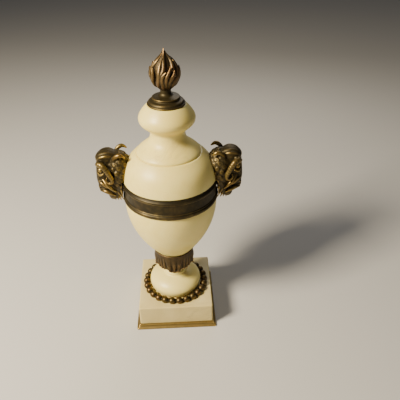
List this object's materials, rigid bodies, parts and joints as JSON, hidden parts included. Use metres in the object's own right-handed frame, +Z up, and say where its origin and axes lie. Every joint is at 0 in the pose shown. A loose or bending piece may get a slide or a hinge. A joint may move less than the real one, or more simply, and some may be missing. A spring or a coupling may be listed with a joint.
{
  "type": "mantel urn",
  "caption": "Covered marble urn on a square plinth, with gilt bronze mounts: ram's heads at the sides, a band, a leaf cup, a bead ring and a flame finial.",
  "frame": {"origin": "centre of the underside of the base plate", "axes": "+Z up through the flame, +X towards the ram's head on the right, -Y towards the viewer"},
  "size_m": [0.145, 0.0962, 0.301],
  "materials": {
    "marble": "polished creamy white marble, faintly translucent",
    "plinth_marble": "polished white marble, slightly greyer, with soft worn edges",
    "gilt_bronze": "aged gilt bronze, brown in the hollows and golden where rubbed",
    "dark_bronze": "dark patinated bronze with golden edges",
    "base_brass": "gilt brass, brighter on its lip"
  },
  "bodies": {
    "root": {"base_plate": "base_brass", "plinth": "plinth_marble", "bead_ring": "gilt_bronze", "socle": "marble", "leaf_cup": "gilt_bronze", "bowl": "marble", "band": "dark_bronze", "shoulder": "marble", "lid": "marble", "finial_base": "gilt_bronze", "flame": "gilt_bronze", "ram_head_right": "gilt_bronze", "ram_head_left": "gilt_bronze"}
  },
  "joints": []
}
